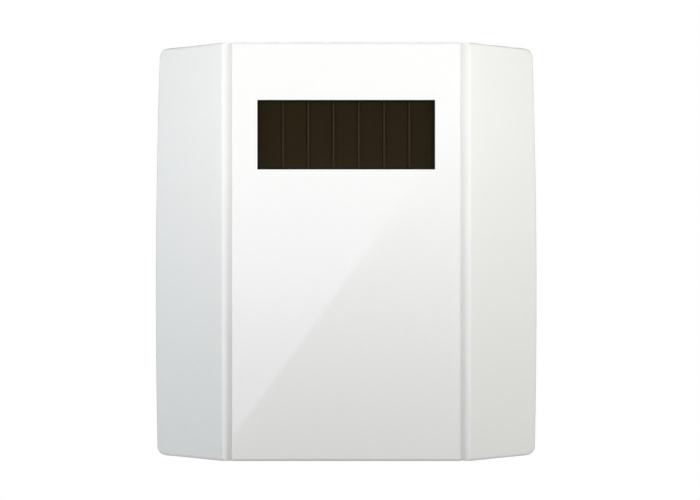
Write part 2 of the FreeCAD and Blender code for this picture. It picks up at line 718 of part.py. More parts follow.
def temperature_leads():
    """Two flat leads that splay out from the bead and pass through the board."""
    root_y = BOARD_Y - BEAD_STAND_OFF
    knee_y = BOARD_Y - BEAD_STAND_OFF / 3
    tail_y = BOARD_BACK_Y + LEAD_TAIL
    foot_x = SENSOR_LEAD_SPREAD / 2
    inner = foot_x - SENSOR_LEAD_WIDTH / 2
    outer = foot_x + SENSOR_LEAD_WIDTH / 2
    points = [
        (0, root_y), (SENSOR_LEAD_WIDTH, root_y), (outer, knee_y),
        (outer, tail_y), (inner, tail_y), (inner, knee_y),
    ]
    bottom = SENSOR_Z - SENSOR_LEAD_THICKNESS / 2
    leads = []
    for side in (-1, 1):
        corners = [Vector(SENSOR_X + side * x, y, bottom) for x, y in points]
        leads.append(prism(corners, Z_AXIS * SENSOR_LEAD_THICKNESS).cut(temperature_bead()))
    return Part.makeCompound(leads)


def radio_board():
    """Small board of the radio module, flat on the main board."""
    return centred_block(RADIO_X, RADIO_Z, RADIO_WIDTH, RADIO_HEIGHT, RADIO_Y, BOARD_Y)


def radio_shield():
    """Sheet-metal can over the radio circuit."""
    width = RADIO_WIDTH - 2 * SHIELD_MARGIN
    height = RADIO_HEIGHT - 2 * SHIELD_MARGIN - RADIO_EDGE_STRIP
    centre_z = RADIO_Z - RADIO_EDGE_STRIP / 2
    top_y = RADIO_Y - SHIELD_HEIGHT
    can = rounded_plate(RADIO_X, centre_z, width, height, 2 * SHIELD_WALL, top_y, RADIO_Y)
    inside = centred_block(
        RADIO_X, centre_z, width - 2 * SHIELD_WALL, height - 2 * SHIELD_WALL, top_y + SHIELD_WALL, RADIO_Y
    )
    return can.cut(inside)


def antenna():
    """Bent-strip antenna that stands off the board along its left and top edges, on two feet."""
    left = BOARD_LEFT + ANTENNA_EDGE
    top = BOARD_TOP - ANTENNA_EDGE
    front = BOARD_Y - ANTENNA_STAND_OFF
    tail_y = BOARD_BACK_Y + LEAD_TAIL
    inner_left = left + ANTENNA_WIDTH
    inner_top = top - ANTENNA_WIDTH
    right = left + ANTENNA_RUN
    points = [
        (left, RADIO_Z), (left, top), (right, top),
        (right, inner_top), (inner_left, inner_top), (inner_left, RADIO_Z),
    ]
    strip = prism([Vector(x, front, z) for x, z in points], Y_AXIS * ANTENNA_THICKNESS)
    middle_x = left + ANTENNA_WIDTH / 2
    middle_z = top - ANTENNA_WIDTH / 2
    low_z = RADIO_Z + ANTENNA_THICKNESS / 2
    far_x = right - ANTENNA_THICKNESS / 2
    feet = [
        centred_block(middle_x, low_z, ANTENNA_WIDTH, ANTENNA_THICKNESS, front, BOARD_Y),
        centred_block(middle_x, low_z, ANTENNA_TAIL_WIDTH, ANTENNA_THICKNESS, front, tail_y),
        centred_block(far_x, middle_z, ANTENNA_THICKNESS, ANTENNA_WIDTH, front, BOARD_Y),
        centred_block(far_x, middle_z, ANTENNA_THICKNESS, ANTENNA_TAIL_WIDTH, front, tail_y),
    ]
    return fused([strip] + feet)


def turned(points, x, z):
    """Solid turned about an axis along Y from (radius, y) points, closed on the axis."""
    outline = [Vector(x + radius, y, z) for radius, y in points]
    face = Part.Face(Part.makePolygon(outline + outline[:1]))
    return face.revolve(Vector(x, 0, z), Y_AXIS, 360)


def energy_store():
    """Coin-shaped storage capacitor: a foot, and a can with a chamfered front."""
    radius = STORE_DIAMETER / 2
    foot = radius - 2 * STORE_RIM
    back = BOARD_Y
    can_back = back - STORE_STAND
    front = can_back - STORE_HEIGHT
    return turned(
        [
            (0, back),
            (foot, back),
            (foot, can_back),
            (radius, can_back),
            (radius, front + STORE_RIM),
            (radius - STORE_RIM, front),
            (0, front),
        ],
        STORE_X,
        STORE_Z,
    )


def learn_switch_base():
    """Body of the learn switch, with the well that holds its dome and plunger."""
    body = centred_block(SWITCH_X, SWITCH_Z, SWITCH_SIZE, SWITCH_SIZE, SWITCH_Y, BOARD_Y)
    return body.cut(rod(SWITCH_X, SWITCH_Z, SWITCH_WELL_DIAMETER, SWITCH_Y, SWITCH_Y + SWITCH_WELL_DEPTH))


def learn_switch_frame():
    """Metal plate that keeps the plunger in the switch."""
    front = SWITCH_Y - SWITCH_FRAME_THICKNESS
    plate = centred_block(SWITCH_X, SWITCH_Z, SWITCH_SIZE, SWITCH_SIZE, front, SWITCH_Y)
    hole = rod(SWITCH_X, SWITCH_Z, PLUNGER_DIAMETER + 2 * PLUNGER_CLEARANCE, front, SWITCH_Y)
    return plate.cut(hole)


def learn_switch_dome():
    """Snap dome on the floor of the switch's well."""
    floor = SWITCH_Y + SWITCH_WELL_DEPTH
    radius = SWITCH_WELL_DIAMETER / 2 - PLUNGER_CLEARANCE
    crown = floor - DOME_RISE
    return turned(
        [(0, crown), (radius, floor - DOME_THICKNESS), (radius, floor), (0, crown + DOME_THICKNESS)],
        SWITCH_X,
        SWITCH_Z,
    )


def learn_switch_plunger():
    """Plunger of the learn switch: a stem through the frame and a flange in the well."""
    flange_front = SWITCH_Y + PLUNGER_CLEARANCE
    flange_back = flange_front + PLUNGER_FLANGE_THICKNESS
    tip = SWITCH_Y - SWITCH_FRAME_THICKNESS - PLUNGER_STAND
    stem = rod(SWITCH_X, SWITCH_Z, PLUNGER_DIAMETER, tip, flange_back)
    tip_edges = [edge for edge in stem.Edges if abs(edge.CenterOfMass.y - tip) < 1e-6]
    stem = stem.makeChamfer(PLUNGER_FLANGE, tip_edges)
    flange = rod(SWITCH_X, SWITCH_Z, PLUNGER_DIAMETER + 2 * PLUNGER_FLANGE, flange_front, flange_back)
    return fused([stem, flange])


def status_light():
    """Surface-mounted indicator: a flat body with a narrower lens in front."""
    width, depth, height = LIGHT_SIZE
    lens_width, lens_depth = LIGHT_LENS
    body_front = BOARD_Y - depth + lens_depth
    body = centred_block(LIGHT_X, LIGHT_Z, width, height, body_front, BOARD_Y)
    lens = centred_block(LIGHT_X, LIGHT_Z, lens_width, height, BOARD_Y - depth, body_front)
    return fused([body, lens])


def charge_controller():
    """Package of the charge controller."""
    gap = CHIP_LEAD_THICKNESS
    front = BOARD_Y - gap - CHIP_THICKNESS
    return centred_block(CHIP_X, CHIP_Z, CHIP_WIDTH, CHIP_HEIGHT, front, BOARD_Y - gap)


def charge_controller_leads():
    """Leads along the upper and lower sides of the charge controller, each with a foot on the board."""
    first_x = CHIP_X - (CHIP_LEAD_COUNT - 1) / 2 * CHIP_LEAD_PITCH - CHIP_LEAD_WIDTH / 2
    shoulder = CHIP_THICKNESS / 2
    leads = []
    for end in (-1, 1):
        root = CHIP_HEIGHT / 2
        points = [
            (root, BOARD_Y - shoulder - CHIP_LEAD_THICKNESS),
            (root + CHIP_LEAD_REACH / 2, BOARD_Y - shoulder - CHIP_LEAD_THICKNESS),
            (root + CHIP_LEAD_REACH / 2, BOARD_Y - CHIP_LEAD_THICKNESS),
            (root + CHIP_LEAD_REACH, BOARD_Y - CHIP_LEAD_THICKNESS),
            (root + CHIP_LEAD_REACH, BOARD_Y),
            (root + CHIP_LEAD_REACH / 2 - CHIP_LEAD_THICKNESS, BOARD_Y),
            (root + CHIP_LEAD_REACH / 2 - CHIP_LEAD_THICKNESS, BOARD_Y - shoulder),
            (root, BOARD_Y - shoulder),
        ]
        for index in range(CHIP_LEAD_COUNT):
            x = first_x + index * CHIP_LEAD_PITCH
            corners = [Vector(x, y, CHIP_Z + end * reach) for reach, y in points]
            leads.append(prism(corners, X_AXIS * CHIP_LEAD_WIDTH))
    return Part.makeCompound(leads)


def chip_row(count, size, first_x, z):
    """Row of equal chips that stand on the board, from left to right."""
    width, depth, height = size
    pitch = width + ROW_GAP
    return Part.makeCompound(
        [
            centred_block(first_x + width / 2 + index * pitch, z, width, height, BOARD_Y - depth, BOARD_Y)
            for index in range(count)
        ]
    )


def chip_start_x():
    """Where the rows of chips start, to the right of the charge controller."""
    return CHIP_X + CHIP_WIDTH / 2 + ROW_GAP


def resistor_row():
    """Chip resistors above the charge controller's level."""
    return chip_row(RESISTOR_COUNT, RESISTOR_SIZE, chip_start_x(), CHIP_Z + RESISTOR_SIZE[2])


def capacitor_row():
    """Chip capacitors below the chip resistors."""
    return chip_row(CAPACITOR_COUNT, CAPACITOR_SIZE, chip_start_x(), CHIP_Z - CAPACITOR_SIZE[2])


def rectifier_diodes():
    """Two diodes between the solar leads and the energy store."""
    x = STORE_X - STORE_DIAMETER / 2
    z = STORE_Z + STORE_DIAMETER / 2 + DIODE_SIZE[2] / 2 + ROW_GAP
    return chip_row(DIODE_COUNT, DIODE_SIZE, x, z)


PIECES = {
    "front_cover": front_cover,
    "wall_base": wall_base,
    "solar_glass": solar_glass,
    "solar_cells": solar_cells,
    "solar_backing_film": solar_backing_film,
    "foam_pad": foam_pad,
    "module_carrier": module_carrier,
    "solar_leads": solar_leads,
    "circuit_board": circuit_board,
    "temperature_bead": temperature_bead,
    "temperature_leads": temperature_leads,
    "radio_board": radio_board,
    "radio_shield": radio_shield,
    "antenna": antenna,
    "energy_store": energy_store,
    "learn_switch_base": learn_switch_base,
    "learn_switch_frame": learn_switch_frame,
    "learn_switch_dome": learn_switch_dome,
    "learn_switch_plunger": learn_switch_plunger,
    "status_light": status_light,
    "charge_controller": charge_controller,
    "charge_controller_leads": charge_controller_leads,
    "resistors": resistor_row,
    "capacitors": capacitor_row,
    "diodes": rectifier_diodes,
}


def main():
    """Build every piece and write it to its own STEP file."""
    os.makedirs("parts", exist_ok=True)
    for name, build in PIECES.items():
        shape = build()
        if not shape.isValid():
            raise ValueError(f"{name} is not a valid shape")
        shape.exportStep(f"parts/{name}.step")
        print(f"{name}: {len(shape.Solids)} solid(s), {shape.Volume:.1f} mm3")


main()
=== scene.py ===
"""Dresses the wall-mounted room sensor: finishes for every piece, fine detail, and a soft white studio.

The sensor is a shallow white housing. Its cover has a flat centre panel with a recessed strip of solar
cells, a groove down each side of the panel, and two wings that fall back towards the wall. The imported
model gives every place and size. Named sizes are in millimetres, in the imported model's own frame.
"""

import logging
import math
from collections.abc import Sequence
from dataclasses import dataclass
from enum import Enum
from typing import Protocol

import bmesh
import bpy
import numpy as np
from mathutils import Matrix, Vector


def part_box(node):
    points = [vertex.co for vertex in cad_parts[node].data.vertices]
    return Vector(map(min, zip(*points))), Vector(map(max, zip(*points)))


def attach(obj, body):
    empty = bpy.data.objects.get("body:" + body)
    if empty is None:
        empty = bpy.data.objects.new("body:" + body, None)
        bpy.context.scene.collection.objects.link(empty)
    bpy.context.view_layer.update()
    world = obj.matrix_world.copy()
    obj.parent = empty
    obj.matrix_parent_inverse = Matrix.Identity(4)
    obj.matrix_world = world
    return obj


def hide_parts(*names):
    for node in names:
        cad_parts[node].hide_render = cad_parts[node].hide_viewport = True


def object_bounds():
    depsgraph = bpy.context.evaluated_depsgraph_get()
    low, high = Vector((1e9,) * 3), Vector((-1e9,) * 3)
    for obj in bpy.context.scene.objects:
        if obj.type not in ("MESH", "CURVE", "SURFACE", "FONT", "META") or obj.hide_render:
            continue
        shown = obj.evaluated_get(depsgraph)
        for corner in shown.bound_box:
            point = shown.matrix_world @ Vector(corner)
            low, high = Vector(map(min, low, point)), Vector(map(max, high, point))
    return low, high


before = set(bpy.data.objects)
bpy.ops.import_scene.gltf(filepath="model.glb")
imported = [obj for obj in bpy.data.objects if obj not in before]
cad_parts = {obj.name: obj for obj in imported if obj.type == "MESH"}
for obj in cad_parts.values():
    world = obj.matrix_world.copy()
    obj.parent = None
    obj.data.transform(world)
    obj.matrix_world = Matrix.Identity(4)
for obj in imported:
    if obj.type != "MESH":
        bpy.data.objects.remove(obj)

LOG = logging.getLogger("room_sensor")
MM = 0.001
HOUSING = "housing"
FRAME_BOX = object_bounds()

# Points of a grid that lie nearer to each other than this are merged.
MERGE_DISTANCE = 0.0001

# Points across a ribbon's crown, and the power with which the crown falls to its edges.
CROWN_POINTS = 7
CROWN_POWER = 4

Triple = tuple[float, float, float]
Pair = tuple[float, float]
Socket = bpy.types.NodeSocket
Piece = bpy.types.Object


def metres(values: Sequence[float]) -> Vector:
    """A place or a size given in millimetres, as a vector in metres."""
    return Vector([value * MM for value in values])


# Surfaces


def grid_piece(name: str, points: np.ndarray, closed_u: bool = False, closed_v: bool = False) -> Piece:
    """Make one mesh from one grid of points, or from several equal grids.

    Formula: point (u, v) is joined to (u + 1, v) and (u, v + 1). A closed direction joins its last row
    to its first. Points that fall together, as at a pole, are merged. A face looks along du x dv.

    Args:
        name: name of the piece.
        points: places in millimetres, with the shape (rows, columns, 3) or (copies, rows, columns, 3).
        closed_u: whether the rows close on themselves.
        closed_v: whether the columns close on themselves.

    Returns:
        The new piece.
    """
    grids = points[None] if points.ndim == 3 else points
    copies, rows, columns = grids.shape[:3]
    index = np.arange(copies * rows * columns).reshape(copies, rows, columns)
    if closed_u:
        index = np.concatenate([index, index[:, :1]], axis=1)
    if closed_v:
        index = np.concatenate([index, index[:, :, :1]], axis=2)
    corners = [index[:, :-1, :-1], index[:, 1:, :-1], index[:, 1:, 1:], index[:, :-1, 1:]]
    faces = np.stack(corners, axis=-1).reshape(-1, 4)
    mesh = bpy.data.meshes.new(name)
    mesh.from_pydata((grids.reshape(-1, 3) * MM).tolist(), [], faces.tolist())
    shape = bmesh.new()
    shape.from_mesh(mesh)
    bmesh.ops.remove_doubles(shape, verts=shape.verts, dist=MERGE_DISTANCE * MM)
    shape.to_mesh(mesh)
    shape.free()
    piece = bpy.data.objects.new(name, mesh)
    bpy.context.scene.collection.objects.link(piece)
    return piece


def smooth(piece: Piece, sharp_angle: float = 40.0) -> Piece:
    """Shade a piece smooth, apart from its edges past an angle.

    Args:
        piece: the piece.
        sharp_angle: angle in degrees from which an edge stays sharp.

    Returns:
        The same piece.
    """
    piece.data.polygons.foreach_set("use_smooth", np.ones(len(piece.data.polygons), dtype=bool))
    piece.data.set_sharp_from_angle(angle=math.radians(sharp_angle))
    return piece


def turned(profile: np.ndarray, centres: np.ndarray, steps: int) -> np.ndarray:
    """Turn a profile about axes along Y.

    Formula: x = cx + r(v) cos a(u), y = y(v), z = cz + r(v) sin a(u), with a from 0 to a full turn.

    Args:
        profile: rows of (radius, y), listed from the wall side's pole to the front's.
        centres: rows of (x, z), one for each copy.
        steps: steps round the axis.

    Returns:
        Grids with the shape (copies, steps, profile points, 3), closed in u.
    """
    angle = np.linspace(0, 2 * np.pi, steps, endpoint=False)[None, :, None]
    radius = profile[None, None, :, 0]
    x = centres[:, None, None, 0] + radius * np.cos(angle)
    z = centres[:, None, None, 1] + radius * np.sin(angle)
    y = np.broadcast_to(profile[None, None, :, 1], x.shape)
    return np.stack([x, y, z], axis=-1)


def ribbon(path: np.ndarray, width: float, front: float, back: float, closed: bool = False) -> np.ndarray:
    """Carry a flat crowned profile along a path that lies square to Y.

    Formula: at each point of the path the two neighbouring directions give a mitre m, and the section's
    points are path + s m for s across the width, at a depth between back and front that follows the
    crown 1 - s^4. The section closes behind, and an open path's ends shrink to a point.

    Args:
        path: rows of (x, z).
        width: width of the ribbon.
        front: y of the crown.
        back: y of the flat back.
        closed: whether the path closes on itself.

    Returns:
        Grid with the shape (path points, section points, 3), closed in v, and in u where the path is.
    """
    if closed:
        before = path - np.roll(path, 1, axis=0)
        after = np.roll(path, -1, axis=0) - path
    else:
        step = np.diff(path, axis=0)
        before = np.concatenate([step[:1], step])
        after = np.concatenate([step, step[-1:]])
    before = before / np.linalg.norm(before, axis=1, keepdims=True)
    after = after / np.linalg.norm(after, axis=1, keepdims=True)
    tangent = before + after
    tangent = tangent / np.linalg.norm(tangent, axis=1, keepdims=True)
    stretch = 1 / np.sum(tangent * after, axis=1)
    mitre = np.stack([-tangent[:, 1], tangent[:, 0]], axis=1) * stretch[:, None] * width / 2
    share = np.linspace(-1, 1, CROWN_POINTS)
    across = np.concatenate([share, [1.0, -1.0]])
    depth = np.concatenate([back + (front - back) * (1 - share**CROWN_POWER), [back, back]])
    spread = np.ones(len(path))
    if not closed:
        path = np.concatenate([path[:1], path, path[-1:]])
        mitre = np.concatenate([mitre[:1], mitre, mitre[-1:]])
        spread = np.concatenate([[0.0], spread, [0.0]])
    flat = path[:, None, :] + spread[:, None, None] * across[None, :, None] * mitre[:, None, :]
    middle = (front + back) / 2
    y = middle + spread[:, None] * (depth[None, :] - middle)
    return np.stack([flat[..., 0], y, flat[..., 1]], axis=-1)


# Finishes


class NodeTree:
    """Short way to add and join the nodes of a material or of the world."""

    # Places of the colour sockets on a mix node.
    COLOUR_INPUTS = (6, 7)
    COLOUR_OUTPUT = 2

    def __init__(self, owner: bpy.types.Material | bpy.types.World) -> None:
        """Start with an empty tree.

        Args:
            owner: the material or the world that the nodes belong to.
        """
        owner.use_nodes = True
        self.owner = owner
        self.tree = owner.node_tree
        self.tree.nodes.clear()

    def add(self, kind: str, **values: object) -> bpy.types.Node:
        """Add a node and set its plain attributes.

        Args:
            kind: node type, such as ShaderNodeTexNoise.
            values: attributes of the node to set.

        Returns:
            The new node.
        """
        node = self.tree.nodes.new(kind)
        for key, value in values.items():
            setattr(node, key, value)
        return node

    def join(self, start: Socket, end: Socket) -> None:
        """Link an output to an input."""
        self.tree.links.new(start, end)

    def finish(self, shader: Socket) -> bpy.types.Material | bpy.types.World:
        """Send a shader to the tree's output.

        Args:
            shader: the shader socket.

        Returns:
            The finished material or world.
        """
        kind = "World" if isinstance(self.owner, bpy.types.World) else "Material"
        self.join(shader, self.add(f"ShaderNodeOutput{kind}").inputs["Surface"])
        return self.owner

    def body(self, **values: float) -> bpy.types.Node:
        """Add the main shader and set its constants.

        Args:
            values: values by socket name, with an underscore for each space.

        Returns:
            The shader node.
        """
        node = self.add("ShaderNodeBsdfPrincipled")
        for key, value in values.items():
            node.inputs[key.replace("_", " ")].default_value = value
        return node

    def surface(self, body: bpy.types.Node, **results: Socket) -> bpy.types.Material:
        """Join what varies over the surface to the main shader, and finish the material.

        Args:
            body: the main shader.
            results: results by socket name, with an underscore for each space.

        Returns:
            The finished material.
        """
        for key, result in results.items():
            self.join(result, body.inputs[key.replace("_", " ")])
        return self.finish(body.outputs["BSDF"])

    def place(self, centre: Triple = (0, 0, 0), stretch: Triple = (1, 1, 1)) -> Socket:
        """The piece's own coordinates, centred and stretched.

        Args:
            centre: point in millimetres that becomes the origin.
            stretch: factor on each axis.

        Returns:
            The vector's socket.
        """
        mapping = self.add("ShaderNodeMapping")
        mapping.inputs["Location"].default_value = [-c * MM * s for c, s in zip(centre, stretch)]
        mapping.inputs["Scale"].default_value = stretch
        self.join(self.add("ShaderNodeTexCoord").outputs["Object"], mapping.inputs["Vector"])
        return mapping.outputs["Vector"]

    def noise(self, pitch: float, detail: float = 2.0, stretch: Triple = (1, 1, 1)) -> Socket:
        """Noise on the piece's own coordinates.

        Args:
            pitch: size of its largest forms in millimetres.
            detail: octaves of the noise.
            stretch: factor on each axis before the noise is read.

        Returns:
            The noise's value.
        """
        noise = self.add("ShaderNodeTexNoise")
        noise.inputs["Scale"].default_value = 1 / (pitch * MM)
        noise.inputs["Detail"].default_value = detail
        self.join(self.place(stretch=stretch), noise.inputs["Vector"])
        return noise.outputs["Fac"]

    def spread(
        self, value: Socket, low: float = 0.0, high: float = 1.0, start: float = 0.3, end: float = 0.7
    ) -> Socket:
        """Carry a range of a value on to another range.

        Args:
            value: the value.
            low: result at the start of its range.
            high: result at the end of its range.
            start: start of its range.
            end: end of its range.

        Returns:
            The result.
        """
        carry = self.add("ShaderNodeMapRange")
        for key, number in (("From Min", start), ("From Max", end), ("To Min", low), ("To Max", high)):
            carry.inputs[key].default_value = number
        self.join(value, carry.inputs["Value"])
        return carry.outputs["Result"]

    def tint(self, value: Socket, dark: Socket | Triple, light: Socket | Triple) -> Socket:
        """Blend between two colours.

        Args:
            value: 0 for the first colour, 1 for the second.
            dark: first colour.
            light: second colour.

        Returns:
            The colour.
        """
        mix = self.add("ShaderNodeMix", data_type="RGBA")
        for place, colour in zip(self.COLOUR_INPUTS, (dark, light)):
            if isinstance(colour, tuple):
                mix.inputs[place].default_value = (*colour, 1)
            else:
                self.join(colour, mix.inputs[place])
        self.join(value, mix.inputs["Factor"])
        return mix.outputs[self.COLOUR_OUTPUT]

    def bump(self, height: Socket, depth: float) -> Socket:
        """Relief from a height.

        Args:
            height: the height, about 0 to 1.
            depth: what a height of 1 stands for, in millimetres.

        Returns:
            The normal.
        """
        relief = self.add("ShaderNodeBump")
        relief.inputs["Distance"].default_value = depth * MM
        self.join(height, relief.inputs["Height"])
        return relief.outputs["Normal"]

    def beyond(self, axis: str, centre: float, limit: float, soft: float = 0.05) -> Socket:
        """Tell the points near a plane, on both its sides, from those further away.

        Args:
            axis: the axis that the plane is square to: X, Y or Z.
            centre: the plane's place on it in millimetres.
            limit: distance from the plane in millimetres.
            soft: half the width of the change in millimetres.

        Returns:
            0 nearer than the distance, 1 past it.
        """
        split = self.add("ShaderNodeSeparateXYZ")
        place = {"X": (centre, 0, 0), "Y": (0, centre, 0), "Z": (0, 0, centre)}[axis]
        self.join(self.place(place), split.inputs["Vector"])
        distance = self.add("ShaderNodeMath", operation="ABSOLUTE")
        self.join(split.outputs[axis], distance.inputs[0])
        return self.spread(distance.outputs[0], 0, 1, (limit - soft) * MM, (limit + soft) * MM)


def shaded(colour: Triple, factor: float) -> Triple:
    """A colour made darker or lighter by a factor."""
    return (colour[0] * factor, colour[1] * factor, colour[2] * factor)


class Finish(Protocol):
    """Finish of a surface. Its pitches and depths are in millimetres, and its shades are factors."""

    def make(self) -> bpy.types.Material:
        """Build the material."""


class Grain(Enum):
    """How a moulded surface was finished in its tool.

    The values are the roughness's two ends, the relief's pitch and its depth in millimetres.
    """

    POLISHED = (0.016, 0.026, 3.1, 0.0003)
    SATIN = (0.37, 0.40, 0.38, 0.012)
    MATTE = (0.52, 0.62, 0.29, 0.020)


@dataclass(frozen=True)
class Moulding:
    """Moulded plastic whose sheen follows how its tool was finished."""

    name: str
    colour: Triple
    grain: Grain
    variation: float = 0.012
    specular: float = 0.5
    cloud_pitch: float = 18.0
    sheen_pitch: float = 7.0

    def make(self) -> bpy.types.Material:
        """Build the material.

        Returns:
            The material.
        """
        low, high, pitch, depth = self.grain.value
        nodes = NodeTree(bpy.data.materials.new(self.name))
        clouds = nodes.spread(nodes.noise(self.cloud_pitch, detail=3.0))
        return nodes.surface(
            nodes.body(IOR=1.49, Specular_IOR_Level=self.specular),
            Base_Color=nodes.tint(clouds, shaded(self.colour, 1 - self.variation), self.colour),
            Roughness=nodes.spread(nodes.noise(self.sheen_pitch, detail=3.0), low, high),
            Normal=nodes.bump(nodes.noise(pitch), depth),
        )


@dataclass(frozen=True)
class Metal:
    """Plated or bare metal with fine drawing marks along one axis."""

    name: str
    colour: Triple
    roughness: float = 0.3
    stretch: Triple = (1.0, 1.0, 0.08)
    mark_depth: float = 0.002
    mark_pitch: float = 0.22
    mark_shade: float = 0.88
    wear_pitch: float = 1.6
    wear_shades: Pair = (0.75, 1.25)

    def make(self) -> bpy.types.Material:
        """Build the material.

        Returns:
            The material.
        """
        nodes = NodeTree(bpy.data.materials.new(self.name))
        marks = nodes.noise(self.mark_pitch, detail=3.0, stretch=self.stretch)
        low, high = (self.roughness * shade for shade in self.wear_shades)
        return nodes.surface(
            nodes.body(Metallic=1.0),
            Base_Color=nodes.tint(nodes.spread(marks), shaded(self.colour, self.mark_shade), self.colour),
            Roughness=nodes.spread(nodes.noise(self.wear_pitch), low, high),
            Normal=nodes.bump(marks, self.mark_depth),
        )


@dataclass(frozen=True)
class ClearPane:
    """Thin clear pane that lets most of what lies behind it show."""

    name: str
    colour: Triple
    cover: float
    specular: float = 0.25
    roughness: Pair = (0.04, 0.07)
    cloud_pitch: float = 8.0
    cloud_shade: float = 0.9
    sheen_pitch: float = 3.3

    def make(self) -> bpy.types.Material:
        """Build the material.

        Returns:
            The material.
        """
        nodes = NodeTree(bpy.data.materials.new(self.name))
        clouds = nodes.noise(self.cloud_pitch)
        return nodes.surface(
            nodes.body(IOR=1.5, Alpha=self.cover, Specular_IOR_Level=self.specular),
            Base_Color=nodes.tint(clouds, shaded(self.colour, self.cloud_shade), self.colour),
            Roughness=nodes.spread(nodes.noise(self.sheen_pitch), *self.roughness),
        )


@dataclass(frozen=True)
class ThinFilm:
    """Dark brown thin-film cell with faint upright streaks, greener along its upper and lower ends and
    painted lighter there, to offset the shade of the window's recess.
    """

    name: str
    colour: Triple
    end_colour: Triple
    centre_z: float
    end_distance: float
    end_fade: float = 0.6
    specular: float = 0.05
    roughness: Pair = (0.35, 0.45)
    streak_pitch: float = 1.1
    streak_stretch: Triple = (1.0, 1.0, 0.05)
    streak_shades: Pair = (0.95, 1.03)
    sheen_pitch: float = 2.0

    def make(self) -> bpy.types.Material:
        """Build the material.

        Returns:
            The material.
        """
        nodes = NodeTree(bpy.data.materials.new(self.name))
        streaks = nodes.spread(nodes.noise(self.streak_pitch, detail=3.0, stretch=self.streak_stretch))
        film = nodes.tint(streaks, *(shaded(self.colour, shade) for shade in self.streak_shades))
        # Past the end distance the film turns greener, and is painted lighter to offset the shade of the
        # window's recess.
        ends = nodes.beyond("Z", self.centre_z, self.end_distance, self.end_fade)
        return nodes.surface(
            nodes.body(IOR=1.5, Specular_IOR_Level=self.specular),
            Base_Color=nodes.tint(ends, film, self.end_colour),
            Roughness=nodes.spread(nodes.noise(self.sheen_pitch), *self.roughness),
        )


@dataclass(frozen=True)
class Foam:
    """Open-celled foam."""

    name: str
    colour: Triple
    cell_pitch: float = 0.45
    cell_depth: float = 0.15
    cell_shade: float = 0.6
    roughness: Pair = (0.85, 0.95)
    sheen_pitch: float = 2.0

    def make(self) -> bpy.types.Material:
        """Build the material.

        Returns:
            The material.
        """
        nodes = NodeTree(bpy.data.materials.new(self.name))
        cells = nodes.noise(self.cell_pitch, detail=4.0)
        return nodes.surface(
            nodes.body(),
            Base_Color=nodes.tint(nodes.spread(cells), shaded(self.colour, self.cell_shade), self.colour),
            Roughness=nodes.spread(nodes.noise(self.sheen_pitch), *self.roughness),
            Normal=nodes.bump(cells, self.cell_depth),
        )


@dataclass(frozen=True)
class SolderMask:
    """Lacquered glass-fibre board: weave under the lacquer, and bare laminate on its edges."""

    name: str
    colour: Triple
    edge_colour: Triple
    middle_y: float
    half_thickness: float
    lacquer_depth: float = 0.03
    lacquer_fade: float = 0.01
    weave_pitch: float = 0.55
    weave_stretch: float = 0.2
    weave_range: Pair = (0.12, 0.4)
    weave_shades: Pair = (0.86, 1.08)
    weave_depth: float = 0.004
    roughness: Pair = (0.22, 0.34)
    sheen_pitch: float = 2.4

    def make(self) -> bpy.types.Material:
        """Build the material.

        Returns:
            The material.
        """
        nodes = NodeTree(bpy.data.materials.new(self.name))
        warp = nodes.noise(self.weave_pitch, detail=1.0, stretch=(1.0, 1.0, self.weave_stretch))
        weft = nodes.noise(self.weave_pitch, detail=1.0, stretch=(self.weave_stretch, 1.0, 1.0))
        weave = nodes.add("ShaderNodeMath", operation="MULTIPLY")
        nodes.join(warp, weave.inputs[0])
        nodes.join(weft, weave.inputs[1])
        cloth = nodes.spread(weave.outputs[0], 0.0, 1.0, *self.weave_range)
        lacquer = nodes.tint(cloth, *(shaded(self.colour, shade) for shade in self.weave_shades))
        lacquer_start = self.half_thickness - self.lacquer_depth
        faces = nodes.beyond("Y", self.middle_y, lacquer_start, self.lacquer_fade)
        return nodes.surface(
            nodes.body(IOR=1.5),
            Base_Color=nodes.tint(faces, self.edge_colour, lacquer),
            Roughness=nodes.spread(nodes.noise(self.sheen_pitch), *self.roughness),
            Normal=nodes.bump(cloth, self.weave_depth),
        )


@dataclass(frozen=True)
class CappedChip:
    """Chip whose two ends are tinned, with an optional light band near its upper end."""

    name: str
    colour: Triple
    centre_z: float
    cap_start: float
    cap_colour: Triple = (0.62, 0.61, 0.58)
    band: Pair | None = None
    band_colour: Triple = (0.55, 0.55, 0.53)
    cloud_pitch: float = 0.8
    cloud_shade: float = 0.88
    grain_pitch: float = 0.2
    grain_depth: float = 0.006
    roughness: Pair = (0.3, 0.42)
    sheen_pitch: float = 0.6

    def make(self) -> bpy.types.Material:
        """Build the material.

        Returns:
            The material.
        """
        nodes = NodeTree(bpy.data.materials.new(self.name))
        clouds = nodes.spread(nodes.noise(self.cloud_pitch, detail=3.0))
        tone = nodes.tint(clouds, shaded(self.colour, self.cloud_shade), self.colour)
        if self.band:
            start, end = self.band
            outside = nodes.beyond("Z", self.centre_z + (start + end) / 2, (end - start) / 2)
            tone = nodes.tint(outside, self.band_colour, tone)
        caps = nodes.beyond("Z", self.centre_z, self.cap_start)
        return nodes.surface(
            nodes.body(IOR=1.5),
            Base_Color=nodes.tint(caps, tone, self.cap_colour),
            Metallic=caps,
            Roughness=nodes.spread(nodes.noise(self.sheen_pitch), *self.roughness),
            Normal=nodes.bump(nodes.noise(self.grain_pitch), self.grain_depth),
        )


